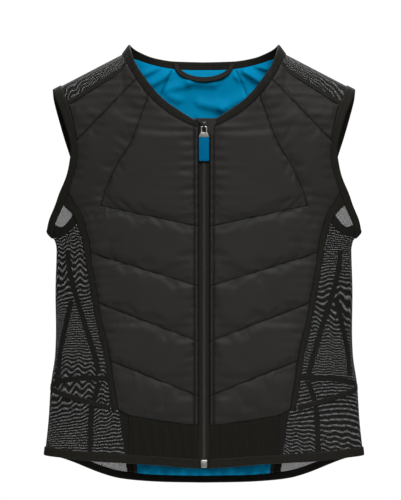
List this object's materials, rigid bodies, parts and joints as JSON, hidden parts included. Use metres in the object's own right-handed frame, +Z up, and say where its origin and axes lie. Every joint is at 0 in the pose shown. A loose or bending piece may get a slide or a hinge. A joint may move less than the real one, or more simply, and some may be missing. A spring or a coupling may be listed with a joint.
{
  "type": "down vest",
  "caption": "Sleeveless zip-front padded vest with quilted front and back, mesh shoulders and sides, and elastic-bound neck, armholes and hem.",
  "frame": {"origin": "midway between the two places where the neck opening meets the shoulder line, where the vest sits on the shoulders", "axes": "+Z up along the worn vest, -Y out of the front, +X to the wearer's left"},
  "size_m": [0.515, 0.1386, 0.7064],
  "materials": {
    "quilted_nylon": "matt charcoal woven nylon over thin padding",
    "mesh_net": "black knitted net, see-through",
    "stretch_jersey": "dark stretch jersey",
    "elastic_tape": "black ribbed elastic tape",
    "lining_weave": "blue woven lining with a soft sheen",
    "nylon_coil": "black nylon coil on woven tape",
    "black_lacquer": "black lacquer, satin",
    "nickel": "plated, satin",
    "moulded_rubber": "blue moulded rubber, satin"
  },
  "bodies": {
    "vest": {"front_panel_left": "quilted_nylon", "front_panel_right": "quilted_nylon", "back_panel": "quilted_nylon", "zip_garage": "quilted_nylon", "yoke_mesh_left": "mesh_net", "yoke_mesh_right": "mesh_net", "side_mesh_left": "mesh_net", "side_mesh_right": "mesh_net", "hem_mesh_left": "mesh_net", "hem_mesh_right": "mesh_net", "hem_band_left": "stretch_jersey", "hem_band_right": "stretch_jersey", "arm_binding_left": "elastic_tape", "arm_binding_right": "elastic_tape", "neck_binding": "elastic_tape", "hem_binding": "elastic_tape", "front_edge_tape_left": "elastic_tape", "front_edge_tape_right": "elastic_tape", "back_edge_tape_left": "elastic_tape", "back_edge_tape_right": "elastic_tape", "shoulder_front_tape_left": "elastic_tape", "shoulder_front_tape_right": "elastic_tape", "shoulder_back_tape_left": "elastic_tape", "shoulder_back_tape_right": "elastic_tape", "waist_tape_left": "elastic_tape", "waist_tape_right": "elastic_tape", "side_seam_tape_left": "elastic_tape", "side_seam_tape_right": "elastic_tape", "gusset_seam_tape_left": "elastic_tape", "gusset_seam_tape_right": "elastic_tape", "band_seam_tape_left": "elastic_tape", "band_seam_tape_right": "elastic_tape", "hanger_loop": "elastic_tape", "back_lining": "lining_weave", "zip_tape_left": "nylon_coil", "zip_tape_right": "nylon_coil", "zip_chain": "nylon_coil", "zip_slider": "black_lacquer", "zip_stop": "nickel"},
    "zip_pull": {"zip_pull": "nickel", "zip_pull_tab": "moulded_rubber"}
  },
  "joints": [
    {"name": "zip_pull_hinge", "type": "hinge", "parent": "vest", "child": "zip_pull", "pos_m": [0, -0.06843, -0.1335], "axis": [-1, 0, 0], "range_deg": [0, 150]}
  ]
}
